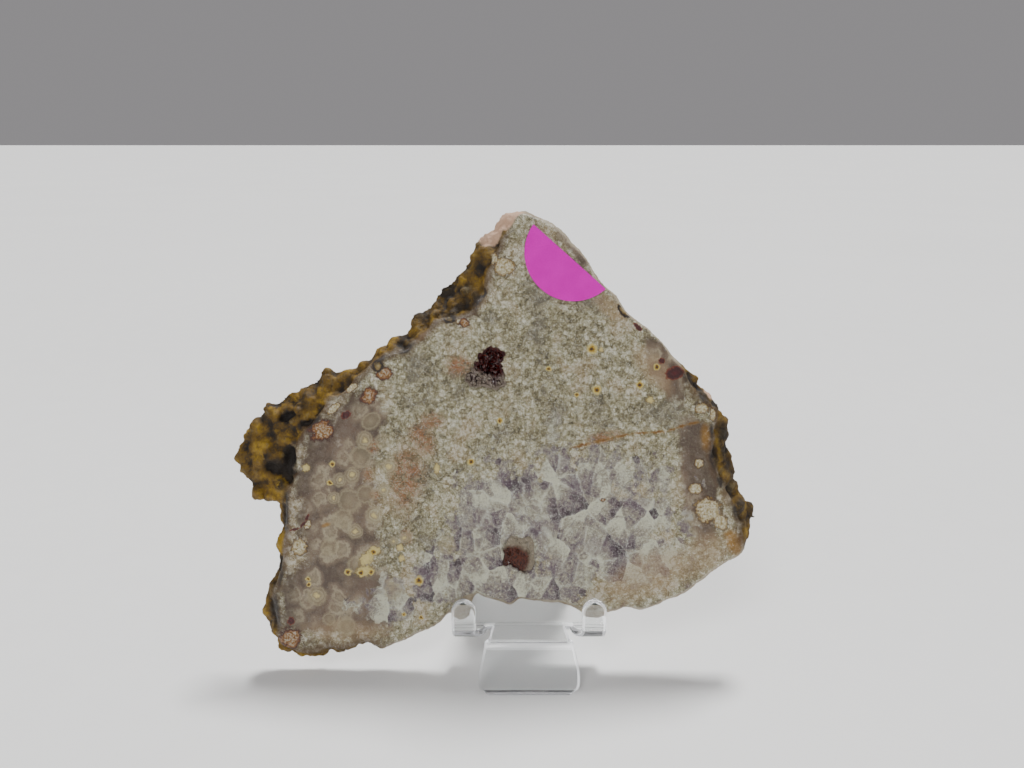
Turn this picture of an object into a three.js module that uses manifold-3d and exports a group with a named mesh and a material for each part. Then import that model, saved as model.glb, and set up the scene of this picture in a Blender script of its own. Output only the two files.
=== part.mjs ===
// A slab of flower agate, sawn flat on both sides, that leans back on a clear one-piece easel.
// Millimetres, +Z up. The show face looks along -Y. The floor is Z = 0.
import * as THREE from "three";
import { mergeVertices } from "three/addons/utils/BufferGeometryUtils.js";
import Module from "manifold-3d";

const wasm = await Module();
wasm.setup();

// Slab. Face coordinates are u (right) and v (up the leaning face), and depth goes into the stone.
const LEAN = THREE.MathUtils.degToRad(18);
const SLAB_THICKNESS = 7.5;
const FACE_ORIGIN = [-1.7, 16.6, 25.8];
const SAMPLES_PER_SPAN = 2;
const BACK_INSET = 1.2;
const FRESH_EDGE_BULGE = 0.6;

// Rows of the rim, from the sawn edge to the back: how far out each lies between the face's edge
// and the outermost line, and how deep, on a fresh edge and on wide rind
const RIM_ROWS = [
  { freshReach: 0, rindReach: 0, freshDepth: 0, rindDepth: 0 },
  { freshReach: 0.5, rindReach: 0.18, freshDepth: 0.25, rindDepth: 0.3 },
  { freshReach: 1, rindReach: 0.6, freshDepth: 0.5, rindDepth: 0.4 },
  { freshReach: 1, rindReach: 1, freshDepth: 0.75, rindDepth: 0.75 },
  { freshReach: 1, rindReach: 1, freshDepth: 1, rindDepth: 1 },
];

// The outermost line is given as it appears in the plane of the face. A point that lies deeper is
// farther from the foot of the line of sight, in proportion to the viewing distance.
const SIGHT_FOOT = [-4.9, 88.5];
const SIGHT_DISTANCE = 300;

// Easel, bent from one clear sheet. X = 0 is its middle and Y = 0 is its toe.
const SHEET = 3;
const BEND_RADIUS = 1.8;
const BEND_STEPS = 4;
const LEDGE_TOP_Z = 17.4;
const FOOT_LEAN = THREE.MathUtils.degToRad(26);
const TOE_WIDTH = 38.8;
const TOE_FLARE_WIDTH = 42;
const TOE_CORNER_RADIUS = 3;
const KNEE_WIDTH = 34;
const STRIP_FRONT_WIDTH = 31.4;
const STRIP_REAR_WIDTH = 29.2;
const SLIT_END_Y = 20.4;
const ARM_NECK_X = 15.9;
const LIP_FRONT_Y = 12.8;
const LIP_TOP_Z = 32;
const LIP_INNER_X = 20.6;
const LIP_WIDTH = 9.4;
const FOLD_Z = 90;
const FOLD_WIDTH = 36;
const FOLD_RADIUS = 3;
const REAR_FOOT_Y = 74;
const REAR_FOOT_WIDTH = 44;
const TOUCH_GAP = 0.3;

// Sticker: a round label cut along a chord
const STICKER_RADIUS = 19.05;
const STICKER_CHORD_OFFSET = 2.2;
const STICKER_CENTRE = [19, 139.8];
const STICKER_TURN = THREE.MathUtils.degToRad(-41.8);
const STICKER_THICKNESS = 0.2;

// Outline stations, clockwise from the apex as seen from the front. The first pair is the edge
// of the sawn face. The second pair is the rind's outermost line, where there is rind.
const STATIONS = [
  [0, 155, 0, 156], [4.5, 153], [9, 151.5], [13.5, 148.5], [18, 143.5], [22, 139], [24.5, 135.5],
  [26.5, 132], [30, 127.5], [34.5, 123], [38.5, 117.5], [42.5, 113.5], [48, 109.5], [52, 106],
  [55, 102.5], [56.5, 99.5], [59.5, 96, 61, 96.5], [62.5, 93, 64.5, 94], [64, 89.5, 67, 91],
  [66, 86, 68.5, 87.5], [69.5, 83, 73, 85], [73.5, 79.5, 76, 81], [74.5, 75, 77.5, 76.5],
  [73, 70, 80, 70.5], [73, 65, 80, 65], [73, 59.5, 81.5, 59.5], [75, 54, 82, 53.5],
  [77, 48.5, 83, 48.5], [80.5, 43.5, 86.5, 43.5], [82.5, 37, 89.5, 37], [84, 31, 88.5, 31],
  [85, 26.5, 87, 26], [84, 22.5], [78.5, 19.5], [73.5, 16.5], [70, 13.5], [66, 10.5], [63, 8],
  [58.5, 6], [53, 4], [49, 2], [45.5, 1], [40.5, 2], [36, 1], [31.5, 0.8, 31.5, -0.5],
  [27.5, 1, 27, -2.4], [22.5, 1.5, 22.5, -1], [19, 2.5], [14, 4], [7.5, 4.5], [1.5, 5],
  [-2.5, 5.5], [-5.5, 3], [-9, 4.5], [-12, 5], [-15.5, 6], [-18.5, 7.5], [-21, 7, -21, 2.5],
  [-24.5, 6, -24.5, -3.6], [-28, 3, -28.5, -1], [-30.5, -0.5], [-33.5, -4], [-37.5, -6.5],
  [-43, -8.5], [-47, -11], [-51.5, -12.5], [-56, -14], [-60.5, -12.5], [-64.5, -12.5],
  [-68.5, -14.5], [-72.5, -15], [-76, -14], [-81, -16], [-86.5, -16], [-90.5, -15],
  [-94, -13.5, -95, -14.5], [-95.5, -11, -97, -10.5], [-95.5, -6.5, -99.5, -6.5],
  [-96.5, -2, -101, -1.5], [-97, 2.5, -101.5, 2.5], [-98, 7, -99.5, 7], [-96.5, 11, -98.5, 11],
  [-95, 16, -96.5, 16], [-94, 21.5, -96, 21.5], [-93.5, 26.5, -96, 26.5], [-93, 30.5, -94.5, 30.5],
  [-93, 35.5, -95, 35.5], [-93, 40, -94.5, 39.5], [-92.5, 44, -97, 42.5], [-91.5, 47, -101.5, 42],
  [-90, 50, -105, 45], [-88.5, 52.5, -107.5, 49.5], [-87.5, 55.5, -111, 54.5],
  [-88, 58.5, -112.5, 59.5], [-88.5, 62, -111, 65], [-87.5, 65.5, -108, 69.5],
  [-86, 68.5, -105.5, 74], [-84, 71.5, -101.5, 78], [-81, 74.5, -95.5, 82.5],
  [-79, 78, -91, 85.5], [-76.5, 80.5, -85, 88], [-73.5, 83, -81, 90.5], [-70, 85.5, -77.5, 93],
  [-67.5, 88.5, -71.5, 94], [-65, 91.5, -67, 93.5], [-61.5, 94, -63.5, 96.5],
  [-58.5, 97.5, -59.5, 98.5], [-54.5, 99.5, -56.5, 101.5], [-50.5, 100.5, -53, 105],
  [-46, 102, -49.5, 108], [-42.5, 105, -45.5, 108.5], [-39.5, 107.5, -43.5, 110],
  [-37, 110, -44, 113], [-35, 112.5, -42.5, 115.5], [-32, 114, -39, 118], [-28, 114, -35.5, 120],
  [-23.5, 115, -34, 122], [-20, 116.5, -33, 125], [-18.5, 120, -31, 127.5],
  [-15.5, 123, -27.5, 129], [-14.5, 127, -26, 131.5], [-14.5, 131, -23.5, 132.5],
  [-13, 134.5, -22, 135], [-11.5, 138, -20, 139], [-10, 141.5, -19, 142], [-8.5, 145, -17.5, 145],
  [-6, 148.5, -14, 149], [-4, 151, -10, 152], [-2.5, 153.5, -6, 155],
];

// Crystal-lined hollows: the mouth's outline on the face, and how deep each goes
const UPPER_HOLLOW = {
  mouth: [[-14, 103.5], [-9, 102], [-7.5, 100.5], [-9, 96.5], [-8, 92.5], [-7, 88], [-11, 86],
    [-16.5, 87.5], [-20.5, 86.5], [-24, 89.5], [-23.5, 92.5], [-20.5, 95], [-18.5, 97.5],
    [-18.5, 100]],
  depth: 6,
};
const LOWER_HOLLOW = {
  mouth: [[-4.5, 29.5], [-1.5, 28.5], [2, 29], [4, 26.5], [4, 22], [4.5, 19.5], [3, 15.5],
    [-2, 15], [-4.5, 17.5], [-10, 17.5], [-8, 20.5], [-8.5, 24.5], [-6.5, 28]],
  depth: 5.4,
};
const CRUST_THICKNESS = 1.1;

// Small round pits on the face: u, v and radius
const PITS = [
  [26.5, 102.5, 1.3], [28.5, 86.5, 1], [45.5, 88, 1], [49, 82.5, 0.7], [9.5, 94.5, 0.8],
  [-9.5, 73.5, 0.7], [-21.5, 57.5, 0.8], [30, 43.5, 1], [-41, 12, 1.2], [-47.5, -1, 0.8],
  [-40.5, -3, 0.8], [-59.5, 23, 0.9], [-63.5, 16, 1], [-60, 15.5, 0.9], [-80.5, 5.5, 1],
  [-81.5, 62.5, 1.2], [-70, 76.5, 1.7],
];
const PIT_SIDES = 7;
const PIT_STEEPNESS = 1.4;

// Rounded lumps that grow on the rind, each stretch between two stations
const RIND_STRETCHES = [
  { from: 22, to: 30, lumps: 7, least: 1.5, most: 2.2 },
  { from: 76, to: 80, lumps: 3, least: 1.3, most: 1.9 },
  { from: 88, to: 102, lumps: 16, least: 2.2, most: 3.6 },
  { from: 104, to: 125, lumps: 18, least: 1.6, most: 2.6 },
];
const LUMP_FLATTENING = 0.85;

// A repeatable fraction between 0 and 1
function scatter(seed) {
  const wave = Math.sin(seed * 127.1 + 31.7) * 4375.85;
  return wave - Math.floor(wave);
}

// A smooth unevenness between about -1 and 1
function ripple(u, v, depth) {
  const slow = Math.sin(u * 0.71 + depth * 0.9) * Math.cos(v * 0.63 - depth * 0.7);
  const quick = Math.sin(u * 1.37 - v * 1.13 + depth * 1.9);
  return 0.65 * slow + 0.35 * quick;
}

function geometryOf(positions, indices) {
  const geometry = new THREE.BufferGeometry();
  geometry.setAttribute("position", new THREE.Float32BufferAttribute(positions, 3));
  geometry.setIndex(indices);
  return geometry;
}

function solidOf(geometry) {
  const bare = geometry.clone();
  bare.deleteAttribute("normal");
  bare.deleteAttribute("uv");
  const merged = mergeVertices(bare, 1e-4);
  const vertProperties = new Float32Array(merged.attributes.position.array);
  const triVerts = new Uint32Array(merged.index.array);
  return new wasm.Manifold(new wasm.Mesh({ numProp: 3, vertProperties, triVerts }));
}

function geometryFrom(solid) {
  const mesh = solid.getMesh();
  return geometryOf(Array.from(mesh.vertProperties), Array.from(mesh.triVerts));
}

function joined(solids) {
  return solids.reduce((whole, solid) => whole.add(solid));
}

function spread([u, v], depth) {
  const grow = 1 + depth / SIGHT_DISTANCE;
  return [
    SIGHT_FOOT[0] + (u - SIGHT_FOOT[0]) * grow,
    SIGHT_FOOT[1] + (v - SIGHT_FOOT[1]) * grow,
  ];
}

// A closed skin over equal rings of points, capped by the first and the last ring
function skinOver(rings) {
  const count = rings[0].length;
  const positions = rings.flat(2);
  const indices = [];
  for (let row = 0; row + 1 < rings.length; row++) {
    for (let i = 0; i < count; i++) {
      const a = row * count + i;
      const b = row * count + (i + 1) % count;
      indices.push(a, b, a + count, b, b + count, a + count);
    }
  }
  const cap = (row, reverse) => {
    const flat = rings[row].map(([x, , z]) => new THREE.Vector2(x, z));
    for (const [a, b, c] of THREE.ShapeUtils.triangulateShape(flat, [])) {
      const start = row * count;
      indices.push(start + a, start + (reverse ? c : b), start + (reverse ? b : c));
    }
  };
  cap(0, false);
  cap(rings.length - 1, true);
  return geometryOf(positions, indices);
}

// The slab's face edge and its outermost line, sampled evenly between the stations
function smoothOutline(points) {
  const knots = points.map(([u, v]) => new THREE.Vector3(u, v, 0));
  const curve = new THREE.CatmullRomCurve3(knots, true, "centripetal");
  const count = points.length * SAMPLES_PER_SPAN;
  return Array.from({ length: count }, (_, i) => curve.getPoint(i / count));
}

function outlines() {
  const face = STATIONS.map(([u, v]) => [u, v]);
  const outer = STATIONS.map((station, i) => {
    if (station.length === 4) {
      return [station[2], station[3]];
    }
    const before = STATIONS[(i + STATIONS.length - 1) % STATIONS.length];
    const after = STATIONS[(i + 1) % STATIONS.length];
    const length = Math.hypot(after[0] - before[0], after[1] - before[1]);
    const outU = -(after[1] - before[1]) / length;
    const outV = (after[0] - before[0]) / length;
    return [station[0] + outU * FRESH_EDGE_BULGE, station[1] + outV * FRESH_EDGE_BULGE];
  });
  return { face: smoothOutline(face), outer: smoothOutline(outer) };
}

// A point of the rim: row 0 is the sawn edge and the last row is the back's edge
function rimPoint(facePoint, outerPoint, row) {
  const { freshReach, rindReach, freshDepth, rindDepth } = RIM_ROWS[row];
  const flare = THREE.MathUtils.smoothstep(facePoint.distanceTo(outerPoint), 1.5, 9);
  const reach = THREE.MathUtils.lerp(freshReach, rindReach, flare);
  const depth = SLAB_THICKNESS * THREE.MathUtils.lerp(freshDepth, rindDepth, flare);
  const at = facePoint.clone().lerp(outerPoint, reach);
  const [u, v] = spread([at.x, at.y], depth);
  return new THREE.Vector3(u, depth, v);
}

function slabBody() {
  const { face, outer } = outlines();
  const count = face.length;
  const lastRow = RIM_ROWS.length - 1;
  const rings = RIM_ROWS.map((_, row) => face.map((facePoint, i) => {
    const point = rimPoint(facePoint, outer[i], row);
    const before = outer[(i + count - 1) % count];
    const after = outer[(i + 1) % count];
    const out = new THREE.Vector2(before.y - after.y, after.x - before.x).normalize();
    const flare = THREE.MathUtils.smoothstep(facePoint.distanceTo(outer[i]), 1, 9);
    const bump = (0.2 + 0.5 * flare) * ripple(point.x, point.z, point.y);
    const push = row === 0 ? 0 : row === lastRow ? -BACK_INSET : bump;
    return [point.x + out.x * push, point.y, point.z + out.y * push];
  }));
  return solidOf(skinOver(rings));
}

// Rounded lumps of rind, set on the rim between the sawn edge and the outermost line
function rindLumps() {
  const { face, outer } = outlines();
  const lumps = [];
  RIND_STRETCHES.forEach((stretch, s) => {
    for (let i = 0; i < stretch.lumps; i++) {
      const seed = s * 100 + i;
      const along = stretch.from + (stretch.to - stretch.from) * (i + 0.5) / stretch.lumps;
      const index = Math.round(along * SAMPLES_PER_SPAN) % face.length;
      const row = 1 + Math.floor(scatter(seed + 0.3) * 3);
      const width = face[index].distanceTo(outer[index]);
      const size = THREE.MathUtils.lerp(stretch.least, stretch.most, scatter(seed));
      const radius = Math.min(size, 0.8 + width * 0.4);
      const at = rimPoint(face[index], outer[index], row);
      const inward = new THREE.Vector2(at.x - SIGHT_FOOT[0], at.z - SIGHT_FOOT[1]);
      inward.setLength(radius * 0.7);
      const depth = Math.max(at.y, radius * LUMP_FLATTENING + 0.4);
      const lump = new THREE.IcosahedronGeometry(radius, 1);
      lump.scale(1, LUMP_FLATTENING, 1);
      lump.rotateY(scatter(seed + 0.7) * Math.PI);
      lump.translate(at.x - inward.x, depth, at.z - inward.y);
      lumps.push(solidOf(lump));
    }
  });
  return lumps;
}

// A bowl that narrows into the stone. Its mouth can be drawn in and its floor raised.
function bowl({ mouth, depth }, drawIn, top, bottom) {
  const middle = mouth.reduce((sum, [u, v]) => sum.add(new THREE.Vector2(u, v)),
    new THREE.Vector2()).divideScalar(mouth.length);
  const levels = [[top, 1], [0.35, 0.97], [0.7, 0.8], [1, 0.5]];
  const rings = levels.map(([level, width], row) => mouth.map(([u, v]) => {
    const arm = new THREE.Vector2(u, v).sub(middle);
    arm.setLength(Math.max(arm.length() * width - drawIn, 0.8));
    const y = row === 0 ? top : level * (depth - bottom);
    return [middle.x + arm.x, y, middle.y + arm.y];
  }));
  return solidOf(skinOver(rings));
}

// A six-sided crystal with a pointed end, from its base along a direction
function crystal(base, direction, radius, length) {
  const profile = [[0, 0], [radius, 0], [radius * 0.95, length * 0.55], [0, length]];
  const point = new THREE.LatheGeometry(profile.map(([x, y]) => new THREE.Vector2(x, y)), 6);
  const turn = new THREE.Quaternion();
  turn.setFromUnitVectors(new THREE.Vector3(0, 1, 0), direction.clone().normalize());
  point.applyQuaternion(turn);
  point.translate(base.x, base.y, base.z);
  return solidOf(point);
}

// One crust of crystals that lines a hollow, clear of its walls by the touch gap
function crust(hollow, count, radius, seed) {
  const lining = bowl(hollow, TOUCH_GAP + 0.15, 0.5, TOUCH_GAP);
  const space = bowl(hollow, TOUCH_GAP + CRUST_THICKNESS, -1, TOUCH_GAP + CRUST_THICKNESS);
  const points = [];
  const corners = hollow.mouth.length;
  const middle = hollow.mouth.reduce((sum, [u, v]) => [sum[0] + u / corners, sum[1] + v / corners],
    [0, 0]);
  for (let i = 0; i < count; i++) {
    const [u, v] = hollow.mouth[Math.floor(i * corners / count)];
    const share = 0.35 + 0.4 * scatter(seed + i);
    const depth = hollow.depth * (1.15 - share * 0.8);
    const base = new THREE.Vector3(
      middle[0] + (u - middle[0]) * share, depth, middle[1] + (v - middle[1]) * share);
    const direction = new THREE.Vector3(middle[0] - base.x, -5, middle[1] - base.z);
    const size = radius * (0.7 + 0.6 * scatter(seed + i + 0.5));
    points.push(crystal(base, direction, size, size * 3.2));
  }
  return lining.subtract(space).add(joined(points).intersect(lining));
}

function pit([u, v, radius]) {
  const profile = [[0, -radius], [radius, -radius], [radius, 0], [0, radius * PIT_STEEPNESS]];
  const points = profile.map(([x, y]) => new THREE.Vector2(x, y));
  return solidOf(new THREE.LatheGeometry(points, PIT_SIDES).translate(u, 0, v));
}

function slab() {
  const stone = joined([slabBody(), ...rindLumps()]);
  const cuts = [bowl(UPPER_HOLLOW, 0, -1, 0), bowl(LOWER_HOLLOW, 0, -1, 0), ...PITS.map(pit)];
  const whole = stone.subtract(joined(cuts));
  const front = solidOf(new THREE.BoxGeometry(400, SLAB_THICKNESS, 400)
    .translate(0, SLAB_THICKNESS / 2, 100));
  return geometryFrom(whole.intersect(front));
}

// A half-round paper sticker: a circle cut by a straight chord
function sticker() {
  const half = Math.acos(-STICKER_CHORD_OFFSET / STICKER_RADIUS);
  const shape = new THREE.Shape();
  shape.absarc(0, 0, STICKER_RADIUS, Math.PI / 2 + half, Math.PI / 2 - half + 2 * Math.PI, false);
  const geometry = new THREE.ExtrudeGeometry(shape, {
    depth: STICKER_THICKNESS, bevelEnabled: false, curveSegments: 24,
  });
  geometry.rotateZ(STICKER_TURN);
  geometry.rotateX(Math.PI / 2);
  geometry.translate(STICKER_CENTRE[0], -TOUCH_GAP, STICKER_CENTRE[1]);
  return geometry;
}

// A bent sheet: stations along its middle line, each with its own span across X
function bentSheet(stations) {
  const rings = stations.map(({ y, z, x0, x1 }, i) => {
    const before = stations[Math.max(i - 1, 0)];
    const after = stations[Math.min(i + 1, stations.length - 1)];
    const into = new THREE.Vector2(y - before.y, z - before.z);
    const away = new THREE.Vector2(after.y - y, after.z - z);
    const first = (into.lengthSq() > 0 ? into : away).clone().normalize();
    const last = (away.lengthSq() > 0 ? away : into).clone().normalize();
    const along = first.clone().add(last).normalize();
    const reach = SHEET / 2 / along.dot(first);
    const [ny, nz] = [-along.y * reach, along.x * reach];
    return [[x0, y - ny, z - nz], [x1, y - ny, z - nz], [x1, y + ny, z + nz], [x0, y + ny, z + nz]];
  });
  const indices = [];
  for (let row = 0; row + 1 < rings.length; row++) {
    for (let i = 0; i < 4; i++) {
      const a = row * 4 + i;
      const b = row * 4 + (i + 1) % 4;
      indices.push(a, a + 4, b, b, a + 4, b + 4);
    }
  }
  const end = (rings.length - 1) * 4;
  indices.push(0, 1, 2, 0, 2, 3, end, end + 2, end + 1, end, end + 3, end + 2);
  const solid = solidOf(geometryOf(rings.flat(2), indices));
  if (solid.volume() > 0) {
    return solid;
  }
  return solidOf(geometryOf(rings.flat(2), indices.reverse()));
}

// Points round a bend between two straight runs of the sheet's middle line
function bend([y0, z0], [y1, z1], [y2, z2], radius) {
  const back = new THREE.Vector2(y0 - y1, z0 - z1).normalize();
  const on = new THREE.Vector2(y2 - y1, z2 - z1).normalize();
  const half = Math.acos(THREE.MathUtils.clamp(back.dot(on), -1, 1)) / 2;
  const reach = radius / Math.tan(half);
  const middle = back.clone().add(on).setLength(radius / Math.sin(half));
  const start = back.clone().multiplyScalar(reach).sub(middle);
  const turn = Math.sign(back.cross(on)) * (Math.PI - 2 * half);
  return Array.from({ length: BEND_STEPS + 1 }, (_, i) => {
    const spoke = start.clone().rotateAround(new THREE.Vector2(), -turn * i / BEND_STEPS);
    return [y1 + middle.x + spoke.x, z1 + middle.y + spoke.y];
  });
}

function easel() {
  const half = SHEET / 2;
  const ledgeZ = LEDGE_TOP_Z - half;
  const bendRadius = BEND_RADIUS + half;
  const armOuter = LIP_INNER_X + LIP_WIDTH;
  const span = (width) => ({ x0: -width / 2, x1: width / 2 });
  const slope = Math.tan(LEAN);

  // Front foot, flared towards its rounded toe, and the strip behind its knee
  const footY = (z) => z * Math.tan(FOOT_LEAN) + half / Math.cos(FOOT_LEAN);
  const footWidth = (z) => {
    const side = THREE.MathUtils.lerp(TOE_FLARE_WIDTH, KNEE_WIDTH, z / ledgeZ);
    const drop = TOE_CORNER_RADIUS - THREE.MathUtils.clamp(z, 0, TOE_CORNER_RADIUS);
    const corner = TOE_CORNER_RADIUS - Math.sqrt(TOE_CORNER_RADIUS ** 2 - drop ** 2);
    return Math.min(side, TOE_WIDTH - 2 * corner);
  };
  const toeHeights = [-2, 0, 0.1, 0.3, 0.6, 1, 2].map((part) => part * TOE_CORNER_RADIUS);
  const knee = bend([footY(0), 0], [footY(ledgeZ), ledgeZ], [SLIT_END_Y, ledgeZ], bendRadius);
  const strip = bentSheet([
    ...toeHeights.map((z) => ({ y: footY(z), z, ...span(footWidth(z)) })),
    ...knee.map(([y, z], i) => {
      const width = THREE.MathUtils.lerp(KNEE_WIDTH, STRIP_FRONT_WIDTH, i / BEND_STEPS);
      return { y, z, ...span(width) };
    }),
    { y: SLIT_END_Y + SHEET / 6, z: ledgeZ, ...span(STRIP_REAR_WIDTH) },
  ]);

  // Panel behind the slab, folded over at its top into the rear leg
  const backDepth = SLAB_THICKNESS + TOUCH_GAP + half;
  const panelY = (z) => FACE_ORIGIN[1]
    + (backDepth + (z - FACE_ORIGIN[2]) * Math.sin(LEAN)) / Math.cos(LEAN);
  const heel = [panelY(ledgeZ), ledgeZ];
  const crest = [panelY(FOLD_Z), FOLD_Z];
  const rear = [REAR_FOOT_Y, -2 * SHEET];
  const fold = bend(heel, crest, rear, FOLD_RADIUS + half);
  const panelWidth = (z) => THREE.MathUtils.mapLinear(z, ledgeZ, fold[0][1],
    2 * armOuter, FOLD_WIDTH);
  const back = bentSheet([
    { y: SLIT_END_Y, z: ledgeZ, ...span(2 * armOuter) },
    ...bend([SLIT_END_Y, ledgeZ], heel, crest, bendRadius)
      .map(([y, z]) => ({ y, z, ...span(panelWidth(z)) })),
    ...fold.map(([y, z]) => ({ y, z, ...span(FOLD_WIDTH) })),
    { y: rear[0], z: rear[1], ...span(REAR_FOOT_WIDTH) },
  ]);

  // Arms that carry the slab, each bent up at its end into a round-topped lip
  const lipRadius = LIP_WIDTH / 2;
  const lipY = LIP_FRONT_Y + half;
  const roundings = [0, 0.25, 0.5, 0.72, 0.88, 0.99].map((part) => part * lipRadius).reverse();
  const lip = roundings.map((rise) => {
    const inset = lipRadius - Math.sqrt(lipRadius ** 2 - rise ** 2);
    const z = LIP_TOP_Z - lipRadius + rise;
    return { y: lipY, z, x0: LIP_INNER_X + inset, x1: armOuter - inset };
  });
  const root = bend([lipY, LIP_TOP_Z], [lipY, ledgeZ], [SLIT_END_Y, ledgeZ], bendRadius);
  const arm = [
    ...lip,
    ...root.map(([y, z]) => {
      const part = THREE.MathUtils.mapLinear(y, lipY, SLIT_END_Y, 0, 1) ** 2;
      return { y, z, x0: THREE.MathUtils.lerp(LIP_INNER_X, ARM_NECK_X, part), x1: armOuter };
    }),
    { y: SLIT_END_Y + SHEET / 6, z: ledgeZ, x0: ARM_NECK_X, x1: armOuter },
  ];
  const rightArm = bentSheet(arm);
  const leftArm = bentSheet(arm.map(({ y, z, x0, x1 }) => ({ y, z, x0: -x1, x1: -x0 })));

  const aboveFloor = solidOf(new THREE.BoxGeometry(200, 200, 200).translate(0, 0, 100));
  return geometryFrom(joined([strip, back, rightArm, leftArm]).intersect(aboveFloor));
}

function piece(name, geometry, colour, roughness) {
  const material = new THREE.MeshStandardMaterial({
    color: colour, roughness, metalness: 0, flatShading: true,
  });
  const mesh = new THREE.Mesh(geometry, material);
  mesh.name = name;
  return mesh;
}

const leaning = new THREE.Group();
leaning.position.set(...FACE_ORIGIN);
leaning.rotation.x = -LEAN;
leaning.add(
  piece("slab", slab(), 0x9c9484, 0.45),
  piece("upper_vug_crystals", geometryFrom(crust(UPPER_HOLLOW, 16, 1.1, 3)), 0x8f8790, 0.3),
  piece("lower_vug_crystals", geometryFrom(crust(LOWER_HOLLOW, 10, 1.7, 40)), 0x8a6a5c, 0.25),
  piece("sticker", sticker(), 0xd437b8, 0.8),
);

const agateSlabOnEasel = new THREE.Group();
agateSlabOnEasel.add(leaning, piece("easel", easel(), 0xe8eef2, 0.05));

// The origin is on the floor, at the middle of the whole
const middle = new THREE.Box3().setFromObject(agateSlabOnEasel, true)
  .getCenter(new THREE.Vector3());
for (const child of agateSlabOnEasel.children) {
  child.position.x -= middle.x;
  child.position.y -= middle.y;
}

export default agateSlabOnEasel;
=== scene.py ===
"""Flower agate slab leaning on a clear display easel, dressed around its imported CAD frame."""

import math
import random

import bpy
import numpy as np
from mathutils import Matrix, Vector
from mathutils.kdtree import KDTree


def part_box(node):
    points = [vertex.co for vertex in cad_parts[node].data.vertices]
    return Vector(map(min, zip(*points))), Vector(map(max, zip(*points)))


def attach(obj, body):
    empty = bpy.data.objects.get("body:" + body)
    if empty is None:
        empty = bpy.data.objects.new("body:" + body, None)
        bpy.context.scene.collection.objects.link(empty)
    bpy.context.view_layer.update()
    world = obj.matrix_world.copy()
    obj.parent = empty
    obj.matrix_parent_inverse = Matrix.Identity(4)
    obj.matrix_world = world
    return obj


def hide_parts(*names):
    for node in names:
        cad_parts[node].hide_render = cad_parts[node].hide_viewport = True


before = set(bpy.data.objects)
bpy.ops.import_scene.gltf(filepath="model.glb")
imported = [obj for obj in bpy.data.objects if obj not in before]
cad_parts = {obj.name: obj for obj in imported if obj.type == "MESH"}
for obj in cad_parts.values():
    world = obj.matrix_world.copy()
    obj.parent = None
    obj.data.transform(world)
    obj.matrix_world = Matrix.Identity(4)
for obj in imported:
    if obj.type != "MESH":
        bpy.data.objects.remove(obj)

bl_info = {
    "name": "Flower Agate Slab",
    "version": (1, 0, 0),
    "blender": (4, 5, 0),
    "location": "View3D > Sidebar > Agate",
    "description": "Models and dresses a flower agate slab on a clear easel",
    "category": "Add Mesh",
}

MM = 0.001
LEAN = math.radians(18)
ROOT = "root"
RICHNESS = 1.5

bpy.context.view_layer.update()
EASEL_LOW, EASEL_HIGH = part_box("easel")
# The easel's middle line on the floor, below the front of its foot
TOE = Vector(((EASEL_LOW.x + EASEL_HIGH.x) / 2, EASEL_LOW.y, 0))
# The point of the sawn face that its own coordinates start from
FACE_ORIGIN = TOE + Vector((-1.7, 16.6, 25.8)) * MM
# Turns row-frame directions into the face's own: u to the right, depth into the stone, v up the face
FACE_TURN = Matrix.Rotation(LEAN, 3, "X")
FACE_NORMAL = Vector((0, -math.cos(LEAN), math.sin(LEAN)))

# Mouths of the two crystal hollows: centre and half sizes on the face, in millimetres
UPPER_HOLLOW = (-15.0, 94.5, 10.5, 10.5)
LOWER_HOLLOW = (-2.5, 22.0, 9.0, 9.0)
# Small pits on the face: u, v and radius, in millimetres
PITS = (
    (26.5, 102.5, 1.3), (28.5, 86.5, 1.0), (45.5, 88.0, 1.0), (49.0, 82.5, 0.7),
    (9.5, 94.5, 0.8), (-9.5, 73.5, 0.7), (-21.5, 57.5, 0.8), (30.0, 43.5, 1.0),
    (-41.0, 12.0, 1.2), (-47.5, -1.0, 0.8), (-40.5, -3.0, 0.8), (-59.5, 23.0, 0.9),
    (-63.5, 16.0, 1.0), (-60.0, 15.5, 0.9), (-80.5, 5.5, 1.0), (-81.5, 62.5, 1.2),
    (-70.0, 76.5, 1.7),
)


# ---------------------------------------------------------------- helpers


def select_only(obj):
    """Makes obj the one selected and active object, in object mode."""
    if bpy.context.object and bpy.context.object.mode != "OBJECT":
        bpy.ops.object.mode_set(mode="OBJECT")
    bpy.ops.object.select_all(action="DESELECT")
    obj.select_set(True)
    bpy.context.view_layer.objects.active = obj


def copy_of(node, name):
    """An editable copy of a CAD node, with its split corners merged."""
    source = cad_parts[node]
    copy = bpy.data.objects.new(name, source.data.copy())
    copy.data.name = name
    bpy.context.scene.collection.objects.link(copy)
    select_only(copy)
    bpy.ops.object.mode_set(mode="EDIT")
    bpy.ops.mesh.select_all(action="SELECT")
    bpy.ops.mesh.remove_doubles(threshold=0.01 * MM)
    bpy.ops.mesh.normals_make_consistent(inside=False)
    bpy.ops.object.mode_set(mode="OBJECT")
    return copy


def apply_modifier(obj, modifier):
    """Applies one modifier to obj's mesh."""
    select_only(obj)
    bpy.ops.object.modifier_apply(modifier=modifier.name)


def hue(red, green, blue):
    """A linear colour from everyday 0-255 levels, a little richer because the picture's tone curve dulls it."""
    def linear(level):
        level /= 255
        return level / 12.92 if level <= 0.04045 else ((level + 0.055) / 1.055) ** 2.4
    levels = [linear(level) for level in (red, green, blue)]
    grey = sum(levels) / 3
    return (*(min(max(grey + (level - grey) * RICHNESS, 0.001), 1.0) for level in levels), 1.0)


# ---------------------------------------------------------------- shader toolkit


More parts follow.
